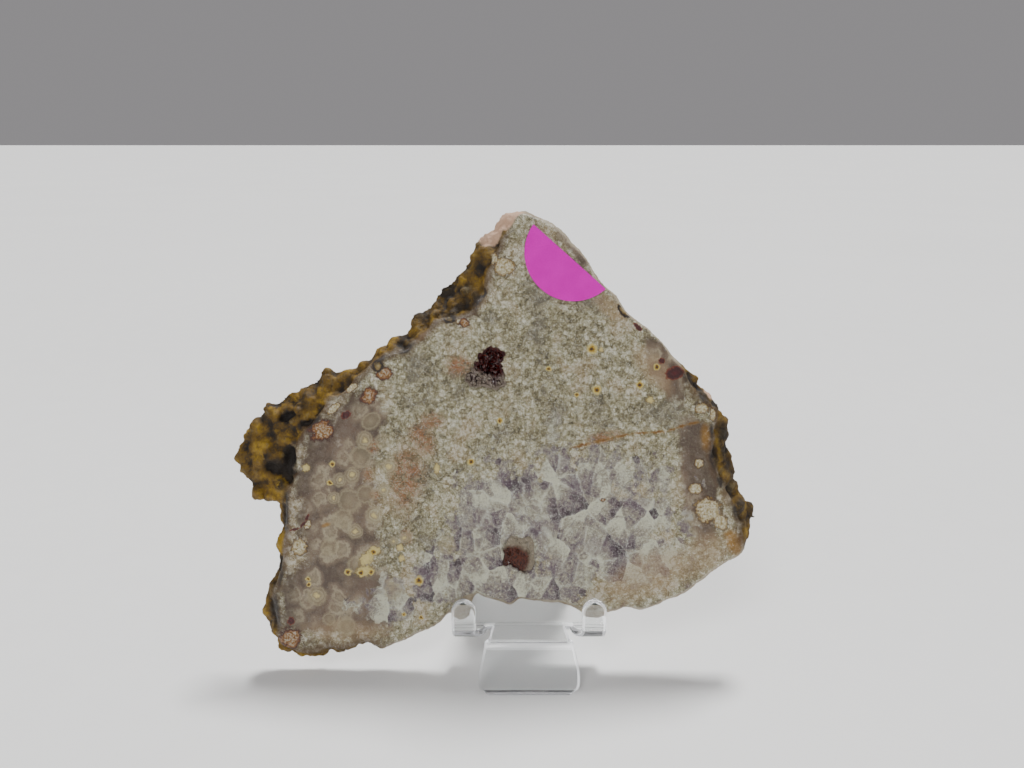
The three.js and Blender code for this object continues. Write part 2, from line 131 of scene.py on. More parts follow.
class Value:
    """A number or vector in a material, with the arithmetic of a number."""

    def __init__(self, look, socket):
        self.look = look
        self.socket = socket

    def __add__(self, other):
        return self.look.maths("ADD", self, other)

    __radd__ = __add__

    def __sub__(self, other):
        return self.look.maths("SUBTRACT", self, other)

    def __rsub__(self, other):
        return self.look.maths("SUBTRACT", other, self)

    def __mul__(self, other):
        return self.look.maths("MULTIPLY", self, other)

    __rmul__ = __mul__

    def __truediv__(self, other):
        return self.look.maths("DIVIDE", self, other)


class Look:
    """A procedural material, written node by node."""

    def __init__(self, name, **constants):
        self.material = bpy.data.materials.new(name)
        self.material.use_nodes = True
        self.tree = self.material.node_tree
        self.shader = self.tree.nodes["Principled BSDF"]
        self.drive({name.replace("_", " "): value for name, value in constants.items()})

    def drive(self, inputs, node=None):
        """Feeds sockets of a node (the surface shader, unless another is given) by name or number."""
        for key, value in inputs.items():
            socket = (node or self.shader).inputs[key]
            if isinstance(value, Value):
                self.tree.links.new(value.socket, socket)
            else:
                socket.default_value = value

    def node(self, kind, settings, inputs, output=0):
        """Adds a node, sets it up, feeds it, and returns one of its outputs."""
        node = self.tree.nodes.new("ShaderNode" + kind)
        for name, value in settings.items():
            setattr(node, name, value)
        self.drive(inputs, node)
        return Value(self, node.outputs[output])

    def maths(self, operation, first, second=0.0, clamp=False):
        return self.node("Math", {"operation": operation, "use_clamp": clamp}, {0: first, 1: second})

    def vector(self, operation, first, second=(0, 0, 0), output=0):
        return self.node("VectorMath", {"operation": operation}, {0: first, 1: second}, output)

    def attribute(self, name):
        return self.node("Attribute", {"attribute_name": name}, {}, "Fac")

    def noise(self, coords, scale, detail=2.0, roughness=0.5, distortion=0.0, output="Fac"):
        return self.node("TexNoise", {}, {
            "Vector": coords, "Scale": scale, "Detail": detail,
            "Roughness": roughness, "Distortion": distortion}, output)

    def cells(self, coords, scale, feature="F1", output="Distance", randomness=1.0):
        return self.node("TexVoronoi", {"feature": feature}, {
            "Vector": coords, "Scale": scale, "Randomness": randomness}, output)

    def step(self, value, low, high):
        """0 where value is at low, 1 where it is at high, with a soft climb between them."""
        return self.node("MapRange", {"interpolation_type": "SMOOTHSTEP"}, {
            "Value": value, "From Min": low, "From Max": high})

    def level(self, colour):
        """The first channel of a random colour, as a number."""
        return self.node("SeparateColor", {}, {"Color": colour}, "Red")

    def ramp(self, value, stops):
        """A colour ramp's colour and alpha. Each stop is a position, a colour and, where it isn't 1, an alpha."""
        node = self.tree.nodes.new("ShaderNodeValToRGB")
        elements = node.color_ramp.elements
        while len(elements) < len(stops):
            elements.new(1.0)
        for element, (position, rgb, *alpha) in zip(elements, stops):
            element.position = position
            element.color = (*hue(*rgb)[:3], alpha[0] if alpha else 1.0)
        self.drive({"Fac": value}, node)
        return Value(self, node.outputs["Color"]), Value(self, node.outputs["Alpha"])

    def mix(self, factor, low, high, blend="MIX"):
        """A colour mixed from low to high. Colours are sockets or 0-255 triples."""
        low, high = (hue(*c) if isinstance(c, tuple) else c for c in (low, high))
        return self.node("Mix", {"data_type": "RGBA", "blend_type": blend, "clamp_factor": True}, {
            0: factor, 6: low, 7: high}, 2)

    def patch(self, coords, u, v, half_u, half_v=None, turn=0.0):
        """1 at a round or oval patch's centre, 0.5 on its outline and 0 at twice its size."""
        local = self.node("Mapping", {"vector_type": "TEXTURE"}, {
            "Vector": coords, "Location": (u, 0, v), "Rotation": (0, -math.radians(turn), 0),
            "Scale": (2 * half_u, 1, 2 * (half_v or half_u))})
        return self.node("TexGradient", {"gradient_type": "SPHERICAL"}, {"Vector": local}, "Fac")

    def distance(self, coords, patches):
        """Distance from the nearest patch's centre: 0 there, 0.5 on its outline, 1 at twice its size."""
        nearness = self.patch(coords, *patches[0])
        for patch in patches[1:]:
            nearness = self.maths("MAXIMUM", nearness, self.patch(coords, *patch))
        return 1 - nearness

    def bump(self, height, distance, strength=1.0, normal=None):
        inputs = {"Height": height, "Distance": distance, "Strength": strength}
        if normal:
            inputs["Normal"] = normal
        return self.node("Bump", {}, inputs)


# ---------------------------------------------------------------- looks

# Patches on the sawn face, in its own millimetres: u, v, half width, half height, turn in degrees
RIMMED_PITS = (
    (26.3, 102.2, 2.3), (9.5, 94.4, 1.3), (28.2, 86.2, 2.0), (45.0, 88.2, 1.7), (51.6, 95.2, 1.5),
    (20.4, 84.3, 1.0), (-9.6, 74.1, 1.3), (-20.9, 58.1, 1.6), (-75.9, 49.9, 1.3),
    (-75.1, 57.3, 1.3), (-47.0, -1.2, 1.0), (-40.4, -2.7, 1.0), (-68.9, 15.2, 1.6),
    (-84.5, 12.5, 1.1), (-84.1, 10.3, 1.1), (-59.1, 23.0, 1.5), (-63.8, 14.8, 1.5),
    (-59.9, 15.2, 1.4), (-41.2, 11.7, 2.0),
)
FLOWERS = (
    (-52.9, 56.2, 3.2), (-58.6, 37.3, 3.4), (-81.0, 5.9, 3.6), (-74.4, 44.1, 2.2),
    (-46.7, 28.5, 2.0), (-67.3, 53.0, 3.0), (-62.3, 66.7, 3.2), (-72.0, 51.1, 2.6),
    (-55.0, 47.0, 2.4), (-66.0, 31.0, 2.8), (-51.0, 27.0, 1.7),
)
PALE_DISCS = (
    (-30.3, 25.4, 3.2), (-51.3, 7.8, 3.4), (-76.3, -3.1, 2.4), (-69.3, -5.9, 3.4),
    (-68.5, 43.0, 4.6), (-64.0, 60.0, 4.2), (-71.0, 36.0, 3.8), (-62.0, 45.5, 3.6),
    (-66.0, 18.0, 3.0), (-76.0, 25.0, 3.4), (-60.0, 74.0, 4.0, 3.0, 30), (-55.0, 66.0, 3.0),
)
CREAM_BLOBS = (
    (-34.2, 55.4, 1.3, 2.3), (-85.3, 55.8, 1.7), (-48.6, 24.6, 1.6), (48.9, 82.3, 1.6),
    (-61.5, 20.5, 4.2, 2.6, 45), (-62.5, 15.5, 4.0, 2.4, 10), (-58.5, 23.5, 2.6, 2.0),
    (-47.8, 20.5, 1.5), (30.0, 102.0, 1.0),
)
RUST_RINGS = (
    (-60.7, 83.9, 4.0, 3.1, 25), (-54.8, 92.8, 3.4, 2.6), (-79.0, 70.2, 5.2, 4.2, 20),
    (-23.6, 112.3, 2.1), (-91.5, -10.9, 4.8, 4.2), (30.6, 43.3, 1.3, 0.9),
)
DARK_RED = (
    (-69.7, 76.5, 2.1, 1.5, 35), (-84.8, 36.3, 1.5, 0.5, 68), (-86.6, 33.6, 1.7, 0.5, 50),
    (-89.6, 31.8, 2.0, 0.45, 14), (-91.1, -3.9, 1.5), (58.7, 92.8, 4.0, 2.6, 20),
    (44.2, 110.8, 2.2, 1.0, -45), (53.5, 97.5, 1.2),
)
DARK_RINGS = (
    (-17.4, 124.4, 2.3), (-29.5, 114.3, 2.3), (38.8, 117.0, 3.0, 1.8, -45), (-57.2, 95.6, 2.3),
    (-84.0, 76.0, 2.4, 1.8), (-35.0, 116.0, 1.8), (-22.5, 118.5, 2.0, 1.6, 40),
)
WHITE_LUMPS = (
    (-8.0, 134.2, 4.4, 4.0), (-12.5, 137.5, 2.6), (65.3, 91.3, 1.6), (69.2, 78.8, 2.8, 2.4),
    (73.5, 76.5, 1.4, 2.8), (71.5, 39.5, 5.6, 5.4), (76.5, 34.5, 3.6, 3.0, -40),
    (66.5, 47.6, 3.0, 2.4), (-87.9, 25.0, 3.2, 3.8), (-74.5, 79.0, 3.4, 1.5, 40),
    (-91.0, -10.5, 3.2, 2.6), (68.0, 57.5, 2.0), (-25.5, 113.0, 1.3), (-67.5, 87.0, 3.0, 1.4, 35),
    (-84.5, 33.5, 1.2, 2.4, -20),
)
YELLOW_STAINS = (
    (82.0, 26.5, 3.6, 6.5, 30), (71.2, 67.0, 2.6, 6.0), (-77.5, 33.5, 2.0, 0.9, 20),
    (-40.0, 108.0, 4.0, 2.0, 40),
)
VEIN = (
    (65.7, 73.2, 2.8, 0.7, 11), (61.1, 72.0, 2.0, 0.6, 18), (57.4, 70.7, 2.0, 0.6, 20),
    (52.2, 69.8, 3.4, 0.6, 4), (45.6, 69.4, 3.4, 0.5, 3), (38.5, 68.4, 3.9, 0.5, 12),
    (30.8, 66.6, 4.2, 0.6, 15), (22.4, 64.6, 4.4, 0.7, 12),
)
ORANGE_CLOUDS = (
    (-46.7, 51.9, 8.0, 17.0, -5), (-59.1, 64.0, 3.0), (-61.0, 53.0, 2.6, 3.6), (-58.4, 45.3, 3.0),
    (31.0, 67.8, 9.0, 2.6, 10), (-46.0, 29.0, 2.6, 3.6), (-26.0, 96.0, 6.0, 5.0),
    (-36.0, 74.0, 6.0, 4.0), (-46.7, 51.9, 4.0, 12.0, -5), (-40.0, 66.0, 6.0, 8.0, 20),
)
PURPLE_DEPTHS = (
    (43.5, 43.3, 6.5, 4.5), (21.2, 49.5, 5.5, 4.0), (14.6, 57.3, 4.0, 3.0), (7.2, 32.0, 5.0, 4.0),
    (11.5, 17.6, 5.0, 3.6), (-45.0, 12.0, 12.0, 5.0, 15), (-8.0, 52.0, 5.0, 4.0),
    (62.0, 36.0, 7.0, 8.0), (-15.0, 36.0, 5.0, 5.0), (28.0, 25.0, 5.0, 4.0),
)
AMETHYST = (
    (22.0, 36.0, 44.0, 30.0), (-10.0, 30.0, 22.0, 30.0), (-34.0, 12.0, 22.0, 11.0, 15),
    (-52.0, 3.0, 16.0, 8.0), (0.0, 8.0, 34.0, 9.0), (44.0, 20.0, 22.0, 12.0, 15),
)
CHALCEDONY = (
    (-74.0, 42.0, 18.0, 36.0, 4), (-80.0, 6.0, 16.0, 18.0), (-66.0, 74.0, 14.0, 10.0, 35),
    (68.0, 50.0, 8.0, 26.0, 5), (55.0, 94.0, 6.0, 14.0, 30), (-64.0, 4.0, 18.0, 14.0),
    (24.0, 141.0, 20.0, 5.0, -42),
)
BEIGE_EDGE = (
    (50.0, 14.0, 26.0, 9.0, 22), (70.0, 22.0, 12.0, 8.0, 35), (-70.0, -8.0, 18.0, 5.0),
    (50.0, 94.0, 13.0, 5.0, -50), (34.0, 118.0, 9.0, 4.0, -45),
)
# Black crust on the rind; over the knob's dark hollow these patches are also painted shade
BLACK_CRUST_AND_SHADE = (
    (-89.5, 54.5, 4.6, 6.0, 10), (-97.0, 57.0, 5.0, 3.0), (-96.0, 49.0, 4.0, 2.4, -30),
    (-93.5, 38.0, 2.2, 12.0), (-94.0, 8.0, 2.6, 12.0), (-97.0, 0.0, 3.0, 8.0), (74.0, 60.0, 2.6, 6.0),
    (72.5, 70.0, 1.6, 5.0), (-80.0, 73.5, 5.0, 3.0, 30), (-18.0, 120.0, 3.0, 6.0, 20),
    (-27.0, 117.0, 7.0, 2.6, 45), (78.0, 38.0, 3.0, 2.0, -50), (60.0, 92.0, 5.0, 2.6, -40),
    (-56.0, 97.0, 4.0, 2.2, 35), (-46.0, 102.0, 4.0, 1.8, 35), (76.0, 50.0, 2.0, 3.0),
    (79.0, 62.0, 3.0, 12.0, 8), (84.0, 40.0, 3.0, 5.0, -30), (70.0, 84.0, 2.4, 4.0, 30),
)

PALE_SIDES = ((-8.0, 153.0, 8.0, 4.0, 30), (-13.0, 148.0, 5.0, 4.0, 45), (74.0, 86.0, 3.0, 4.0))
DENTS = ((-90.5, 55.5, 6.5, 7.5), (-98.0, 55.0, 4.5, 3.0), (-86.0, 73.0, 4.0, 2.4, 30), (-94.0, 76.0, 4.0, 2.0, 20))


def face_coordinates(look):
    """The sawn face's own coordinates in millimetres: X is u, Y the depth into the stone, Z is v."""
    place = look.node("TexCoord", {}, {}, "Object")
    shift = -(FACE_TURN @ FACE_ORIGIN) / MM
    return look.node("Mapping", {"vector_type": "POINT"}, {
        "Vector": place, "Location": shift, "Rotation": (LEAN, 0, 0), "Scale": (1 / MM, 1 / MM, 1 / MM)})


def warped(look, coords, scale, reach):
    """Coordinates that wander by up to about reach millimetres, so that outlines come out uneven."""
    drift = look.noise(coords, scale, 3, 0.55, output="Color")
    along = look.node("SeparateColor", {}, {"Color": drift}, "Red")
    up = look.node("SeparateColor", {}, {"Color": drift}, "Green")
    shift = look.node("CombineXYZ", {}, {"X": (along - 0.5) * 2 * reach, "Z": (up - 0.5) * 2 * reach})
    return look.node("Mapping", {"vector_type": "POINT"}, {"Vector": coords, "Location": shift})


def lay(look, base, coords, patches, stops, unevenness=None):
    """Lays patches over base: the stops' positions run from a patch's centre, and 0.5 is its outline."""
    distance = look.distance(coords, patches)
    colour, cover = look.ramp(distance + unevenness if unevenness else distance, stops)
    return look.mix(cover, base, colour)


def rimmed(look, base, coords, patches, filling, rim, unevenness):
    """Lays patches that are filled with a mottled colour and have a rim of their own."""
    distance = look.distance(coords, patches) + unevenness
    filled = look.mix(look.step(distance, 0.43, 0.37), base, filling)
    colour, cover = look.ramp(distance, rim)
    return look.mix(cover, filled, colour)


def agate_look():
    """Flower agate: grainy above, amethyst crystals below, chalcedony with flowers at the left, a rusty rind."""
    look = Look("flower_agate", IOR=1.54, Coat_Roughness=0.25)
    face = face_coordinates(look)
    flat = look.node("Mapping", {"vector_type": "POINT"}, {"Vector": face, "Scale": (1, 0, 1)})
    uneven = warped(look, flat, 0.35, 1.1)
    ragged = warped(look, flat, 0.8, 0.8)
    depth = look.node("SeparateXYZ", {}, {0: face}, "Y")
    front = look.step(depth, 2.4, 0.8)
    rind = look.attribute("rind_cover")
    rim = look.attribute("rim_distance")
    rind_side = look.attribute("rind_side")
    lump = look.attribute("lump_height")

    broad = look.noise(face, 0.06, 3, 0.6)
    medium = look.noise(face, 0.28, 4, 0.6)
    fine = look.noise(face, 1.1, 4, 0.7)
    finest = look.noise(face, 3.2, 2, 0.6)
    roughen = (fine - 0.5) * 0.34
    wander = medium - 0.5 + (broad - 0.5) * 1.3

    def zone(name, inner=0.75, outer=1.15, drift=0.9):
        """1 inside one of the stone's broad zones, 0 outside, with an uneven border."""
        return look.step(look.attribute(name) + wander * drift, outer, inner)

    # Grainy ground: small crystals of uneven lightness, frosty wisps and darker seams
    grain = look.cells(ragged, 0.62)
    grain_tone = look.level(look.cells(ragged, 0.62, output="Color"))
    wisp = look.cells(ragged, 0.34, "DISTANCE_TO_EDGE")
    ground_level = fine * 0.75 + medium * 0.26 + grain_tone * 0.18 - grain * 0.16 + finest * 0.55 + broad * 0.6 - 0.6
    ground, _ = look.ramp(ground_level, (
        (0.28, (56, 50, 36)), (0.41, (110, 104, 84)), (0.53, (152, 147, 124)), (0.68, (214, 212, 200))))
    ground = look.mix(look.step(broad, 0.52, 0.64) * 0.3, ground, (132, 104, 76))
    ground = look.mix(look.step(broad, 0.48, 0.34) * 0.4, ground, (126, 122, 112))
    frosty = look.step(wisp + (fine - 0.5) * 0.55, 0.07, 0.0) * look.step(medium, 0.4, 0.56)
    ground = look.mix(frosty * look.step(finest, 0.4, 0.56) * 0.6, ground, (214, 213, 202))

    # Chalcedony: smooth, with pale rounded discs that touch, darker and browner towards the rind
    discs = look.cells(uneven, 0.14)
    chalcedony, _ = look.ramp(discs + (medium - 0.5) * 0.8 + (fine - 0.5) * 0.3, (
        (0.05, (158, 150, 132)), (0.24, (128, 117, 102)), (0.36, (166, 158, 140)), (0.5, (116, 103, 91)),
        (0.72, (78, 66, 58))))
    chalcedony = look.mix(look.step(broad, 0.42, 0.6) * 0.5, chalcedony, (104, 88, 78))
    near_rind = look.step(rim + (medium - 0.5) * 12.0, 13.0, 3.0) * rind_side
    chalcedony = look.mix(near_rind * 0.85, chalcedony, (58, 45, 36))
    inside_chalcedony = zone("chalcedony")
    base = look.mix(inside_chalcedony * 0.9, ground, chalcedony)

    # Amethyst: a mosaic of crystals, each with its own tone, growth lines, a frosty seam and painted facet shading
    crystal_scale = 0.125
    tall = look.node("Mapping", {"vector_type": "POINT"}, {"Vector": uneven, "Scale": (1, 1, 0.72)})
    crystal_colour = look.cells(tall, crystal_scale, output="Color")
    crystal = look.level(crystal_colour)
    seam = look.cells(tall, crystal_scale, "DISTANCE_TO_EDGE") / crystal_scale
    middle = look.cells(tall, crystal_scale, output="Position")
    # Painted facet shading: each crystal grows lighter towards one random side, as if one facet caught the light
    facet_shade = look.vector("DOT_PRODUCT", look.vector("SUBTRACT", tall, middle),
                        look.vector("SUBTRACT", crystal_colour, (0.5, 0.5, 0.5)), "Value")
    growth = look.maths("SINE", seam * 3.4 + fine * 3.0)
    small = look.level(look.cells(ragged, 0.27, output="Color"))
    small_seam = look.cells(ragged, 0.27, "DISTANCE_TO_EDGE")
    level = (crystal * 0.28 + small * 0.28 + facet_shade * 0.12 + growth * 0.04 + fine * 0.85 + medium * 0.3
             + finest * 0.45 - 0.57)
    amethyst, _ = look.ramp(level, (
        (0.14, (56, 46, 52)), (0.34, (104, 94, 98)), (0.52, (142, 137, 126)), (0.76, (200, 200, 184))))
    amethyst = look.mix(zone("purple", 0.5, 1.2) * 0.45, amethyst, (96, 82, 92))
    frost = look.step(seam + (fine - 0.5) * 3.6, 0.3, -0.1) * look.step(medium, 0.42, 0.6)
    amethyst = look.mix(frost * 0.65, amethyst, (218, 220, 212))
    frost_cloud = look.step(medium, 0.52, 0.68) * look.step(fine, 0.42, 0.62)
    amethyst = look.mix(frost_cloud * 0.25, amethyst, (190, 191, 176))
    small_frost = look.step(small_seam + (fine - 0.5) * 0.5, 0.09, 0.0) * look.step(finest, 0.4, 0.6)
    amethyst = look.mix(small_frost * 0.4, amethyst, (204, 206, 198))
    inside_amethyst = zone("amethyst", 0.75, 1.0, 1.8)
    base = look.mix(inside_amethyst * 0.95, base, amethyst)

    # Stains and clouds
    beige = zone("beige", 0.5, 1.2)
    base = look.mix(beige * 0.45, base, (156, 136, 112))
    orange = zone("orange", 0.3, 1.25) * look.step(fine * 0.6 + medium * 0.4, 0.4, 0.6)
    base = look.mix(orange * 0.9, base, (124, 80, 46))
    base = look.mix(zone("yellow", 0.4, 1.3) * 0.7, base, (140, 106, 30))

    # Painted glints: small near-white spots where light would catch the grains
    painted_glints = look.step(finest * 0.6 + fine * 0.55, 0.66, 0.73) * (1 - inside_chalcedony * 0.8)
    base = look.mix(painted_glints * 0.75, base, (242, 243, 238))

    # Rusty band just inside the rind
    band = look.step(rim + (medium - 0.5) * 5.0, 4.0, 0.4) * rind_side
    base = look.mix(band * 0.75, base, (70, 50, 32))

    # Flowers, pits and lumps
    face_colour = lay(look, base, uneven, PALE_DISCS, (
        (0.0, (158, 149, 128), 0.6), (0.34, (146, 137, 116), 0.35), (0.44, (168, 160, 138), 0.55),
        (0.6, (150, 141, 120), 0.0)), roughen)
    face_colour = lay(look, face_colour, uneven, FLOWERS, (
        (0.0, (204, 192, 150)), (0.12, (188, 176, 140)), (0.19, (142, 130, 106), 0.7), (0.3, (180, 173, 150), 0.7),
        (0.37, (138, 127, 106), 0.6), (0.46, (170, 162, 140), 0.55), (0.6, (150, 141, 120), 0.0)), roughen)
    face_colour = lay(look, face_colour, ragged, CREAM_BLOBS, (
        (0.0, (206, 194, 152)), (0.34, (188, 176, 136)), (0.45, (104, 86, 56), 0.7), (0.56, (150, 140, 110), 0.0)),
        roughen * 2.2)
    face_colour = lay(look, face_colour, ragged, VEIN, (
        (0.0, (92, 62, 28)), (0.24, (116, 84, 42), 0.85), (0.44, (140, 112, 70), 0.3), (0.7, (150, 130, 96), 0.0)),
        roughen * 1.6)
    face_colour = lay(look, face_colour, ragged, RIMMED_PITS, (
        (0.0, (40, 26, 12)), (0.12, (78, 54, 26)), (0.22, (158, 130, 72)), (0.36, (198, 187, 140)),
        (0.52, (184, 172, 126), 0.0)), roughen * 0.9)
    frosted, _ = look.ramp(fine, (
        (0.34, (96, 78, 46)), (0.44, (160, 148, 116)), (0.56, (202, 197, 180)), (0.7, (224, 221, 210))))
    face_colour = rimmed(look, face_colour, ragged, WHITE_LUMPS, frosted, (
        (0.35, (150, 120, 70), 0.0), (0.41, (112, 84, 44), 0.7), (0.46, (50, 35, 18), 0.8),
        (0.56, (60, 44, 28), 0.0)), roughen * 1.6 + (medium - 0.5) * 0.4)
    rusted, _ = look.ramp(fine, (
        (0.36, (70, 42, 22)), (0.46, (132, 96, 56)), (0.54, (160, 148, 130)), (0.7, (198, 194, 186))))
    face_colour = rimmed(look, face_colour, ragged, RUST_RINGS, rusted, (
        (0.31, (130, 84, 44), 0.0), (0.38, (92, 54, 28), 0.9), (0.44, (46, 20, 12)), (0.5, (60, 38, 28), 0.5),
        (0.58, (80, 62, 50), 0.0)), roughen * 1.2 + (medium - 0.5) * 0.8)
    face_colour = lay(look, face_colour, ragged, DARK_RED, (
        (0.0, (72, 18, 12)), (0.34, (44, 12, 8)), (0.46, (104, 48, 22), 0.9), (0.56, (100, 70, 50), 0.0)),
        roughen * 1.2)
    face_colour = lay(look, face_colour, uneven, DARK_RINGS, (
        (0.0, (150, 140, 112)), (0.24, (116, 98, 66)), (0.34, (22, 14, 6)), (0.48, (34, 24, 10)),
        (0.6, (90, 66, 40), 0.0)), roughen)

    # Rind: ochre lumps with painted highlights on their tops, painted shade in the crevices, and black crust that is
    # partly painted shade
    tan = look.noise(face, 0.13, 4, 0.62)
    # Raised lumps come out lighter: a painted highlight on the lump tops
    rust, _ = look.ramp(tan * 0.9 + fine * 0.3 + lump * 0.07 - 0.06, (
        (0.32, (28, 21, 10)), (0.45, (64, 50, 25)), (0.58, (98, 78, 40)), (0.76, (150, 127, 76))))
    rust = look.mix(look.step(medium, 0.54, 0.7) * 0.45, rust, (122, 112, 88))
    pores = look.step(fine * 0.7 + finest * 0.3, 0.42, 0.33)
    rust = look.mix(pores * 0.7, rust, (20, 13, 6))
    # Painted shade: the dips between lumps turn almost black
    crevice_shade = look.step(lump + (fine - 0.5) * 1.2, -0.1, -1.1)
    rust = look.mix(crevice_shade * 0.92, rust, (14, 8, 2))
    stone_edge, _ = look.ramp(medium * 0.5 + fine * 0.6, (
        (0.3, (116, 98, 80)), (0.5, (148, 138, 122)), (0.75, (190, 184, 170))))
    pale_side = zone("pale", 0.7, 1.1)
    side = look.mix(rind_side * (1 - pale_side), stone_edge, rust)
    side = look.mix(pale_side * 0.7, side, (206, 176, 158))
    colour = look.mix(rind, look.mix(front, base, face_colour), side)
    # Black crust, partly real and partly painted shade where it fills the knob's dark hollow
    black = zone("black", 0.5, 1.25) * look.step(medium * 0.6 + fine * 0.4, 0.36, 0.52)
    outer = look.maths("MAXIMUM", rind, look.step(rim, 2.2, 0.8))
    colour = look.mix(black * outer * rind_side * 0.92, colour, (22, 15, 8))

    # Hollow walls
    walls = look.step(depth + (fine - 0.5) * 0.8, 0.3, 0.9) * zone("stained", 0.8, 1.2, 0.4)
    colour = look.mix(walls * look.step(depth, 6.9, 6.4) * 0.95, colour, (58, 22, 14))

    gloss = 0.42 - inside_amethyst * 0.1 + (fine - 0.5) * 0.6 + rind * 0.33
    relief = look.bump(fine * 0.6 + medium * 0.4 + finest * 0.2 + small * inside_amethyst * 0.3, 0.6 * MM, 1.0)
    look.drive({"Base Color": colour, "Roughness": gloss, "Coat Weight": 0.25 - rind * 0.25, "Normal": relief})
    return look.material


UPPER_STAIN = (-13.0, 99.0, 9.0, 7.0, -20)
LOWER_STAIN = (-5.5, 18.5, 7.5, 6.0, 30)


def druse_look(name, stain, dark, pale):
    """Small quartz crystals: dark iron-stained ones in one part of the hollow, pale ones in the rest."""
    look = Look(name, IOR=1.54, Coat_Weight=0.4, Coat_Roughness=0.05)
    face = face_coordinates(look)
    flat = look.node("Mapping", {"vector_type": "POINT"}, {"Vector": face, "Scale": (1, 0, 1)})
    uneven = warped(look, flat, 0.35, 1.1)
    fine = look.noise(face, 1.4, 3, 0.6)
    sparkle = look.noise(face, 3.5, 1, 0.5)
    depth = look.node("SeparateXYZ", {}, {0: face}, "Y")
    stained = look.step(look.distance(uneven, (stain,)), 0.6, 0.42)
    tone, _ = look.ramp(fine, ((0.35, tuple(level * 0.7 for level in pale)), (0.6, pale), (0.75, (206, 200, 198))))
    deep, _ = look.ramp(fine, ((0.3, tuple(level * 0.5 for level in dark)), (0.6, dark), (0.8, (120, 72, 56))))
    mouth = look.step(depth + (fine - 0.5) * 2, 3.4, 1.4)
    tone = look.mix(mouth * 0.45, tone, (150, 145, 130))
    colour = look.mix(stained, tone, deep)
    look.drive({"Base Color": colour, "Roughness": 0.12 + sparkle * 0.3,
                "Normal": look.bump(fine, 0.1 * MM, 0.4)})
    return look.material


def label_look():
    """Fluorescent magenta paper with a fine tooth."""
    look = Look("label_paper", Specular_IOR_Level=0.05, Emission_Strength=0.08)
    face = face_coordinates(look)
    fibres = look.noise(face, 2.2, 4, 0.7)
    cloud = look.noise(face, 0.12, 2)
    paper, _ = look.ramp(fibres * 0.6 + cloud * 0.4, ((0.35, (196, 0, 172)), (0.65, (214, 0, 190))))
    look.drive({"Base Color": paper, "Emission Color": paper, "Roughness": 0.6 + fibres * 0.2,
                "Normal": look.bump(fibres, 0.04 * MM, 0.5)})
    return look.material


def clear_look():
    """Clear acrylic with faint handling marks. Its polished edges and the foot's knee glow white with a painted
    highlight.
    """
    look = Look("clear_acrylic", Transmission_Weight=0.95, IOR=1.49, Emission_Strength=0.75)
    # Where the sheet carries a painted highlight: its polished edges, and half as much round the knee
    edge = look.attribute("painted_edge_highlight")
    place = look.node("TexCoord", {}, {}, "Object")
    marks = look.noise(place, 180.0, 3, 0.6)
    waves = look.noise(place, 40.0, 1, 0.4)
    tint, _ = look.ramp(marks, ((0.3, (250, 252, 252)), (0.7, (253, 253, 253))))
    # Painted highlight: the edges glow white through emission, though no lamp is there
    painted_highlight = look.mix(edge * look.step(waves, 0.3, 0.55), (0, 0, 0), (190, 190, 192))
    look.drive({"Base Color": tint, "Roughness": look.step(marks, 0.5, 0.8) * 0.06 + edge * 0.15,
                "Emission Color": painted_highlight, "Normal": look.bump(waves, 0.05 * MM, 0.3)})
    return look.material


def floor_look():
    """A plain pale tabletop with the faintest grain."""
    look = Look("tabletop", Specular_IOR_Level=0.3)
    place = look.node("TexCoord", {}, {}, "Object")
    grain = look.noise(place, 60.0, 3, 0.6)
    broad = look.noise(place, 3.0, 2, 0.5)
    paint, _ = look.ramp(grain * 0.4 + broad * 0.6, ((0.3, (236, 236, 235)), (0.7, (240, 240, 239))))
    look.drive({"Base Color": paint, "Roughness": 0.5 + grain * 0.15})
    return look.material


# ---------------------------------------------------------------- settings


class SlabSettings(bpy.types.PropertyGroup):
    """How finely the stone is modelled."""
    grid: bpy.props.FloatProperty(
        name="Grid", description="Size of the stone's surface squares",
        default=1.0 * MM, min=0.3 * MM, subtype="DISTANCE", unit="LENGTH")
    lump_size: bpy.props.FloatProperty(
        name="Lump size", description="Width of the rounded lumps on the rind",
        default=3.2 * MM, min=0.5 * MM, subtype="DISTANCE", unit="LENGTH")
    lump_height: bpy.props.FloatProperty(
        name="Lump height", description="Height of the rounded lumps on the rind",
        default=1.3 * MM, min=0, subtype="DISTANCE", unit="LENGTH")


class CrustSettings(bpy.types.PropertyGroup):
    """How the crystal crusts grow."""
    count: bpy.props.IntProperty(
        name="Crystals", description="Crystals in each hollow", default=260, min=1, max=2000)
    length: bpy.props.FloatProperty(
        name="Length", description="Usual length of a crystal",
        default=2.0 * MM, min=0.2 * MM, subtype="DISTANCE", unit="LENGTH")
    setback: bpy.props.FloatProperty(
        name="Setback", description="How far behind the sawn face the crust begins",
        default=1.2 * MM, min=0, subtype="DISTANCE", unit="LENGTH")
    seed: bpy.props.IntProperty(name="Seed", description="Changes where the crystals stand", default=7)


class EaselSettings(bpy.types.PropertyGroup):
    """How the clear sheet is made."""
    thickness: bpy.props.FloatProperty(
        name="Thickness", description="Thickness of the sheet",
        default=3.0 * MM, min=0.5 * MM, subtype="DISTANCE", unit="LENGTH")
    edge_radius: bpy.props.FloatProperty(
        name="Edge radius", description="Rounding of the flame-polished edges",
        default=0.95 * MM, min=0.05 * MM, subtype="DISTANCE", unit="LENGTH")
    bend_steps: bpy.props.IntProperty(
        name="Bend steps", description="Flats in each bend", default=10, min=3, max=30)


# ---------------------------------------------------------------- operators


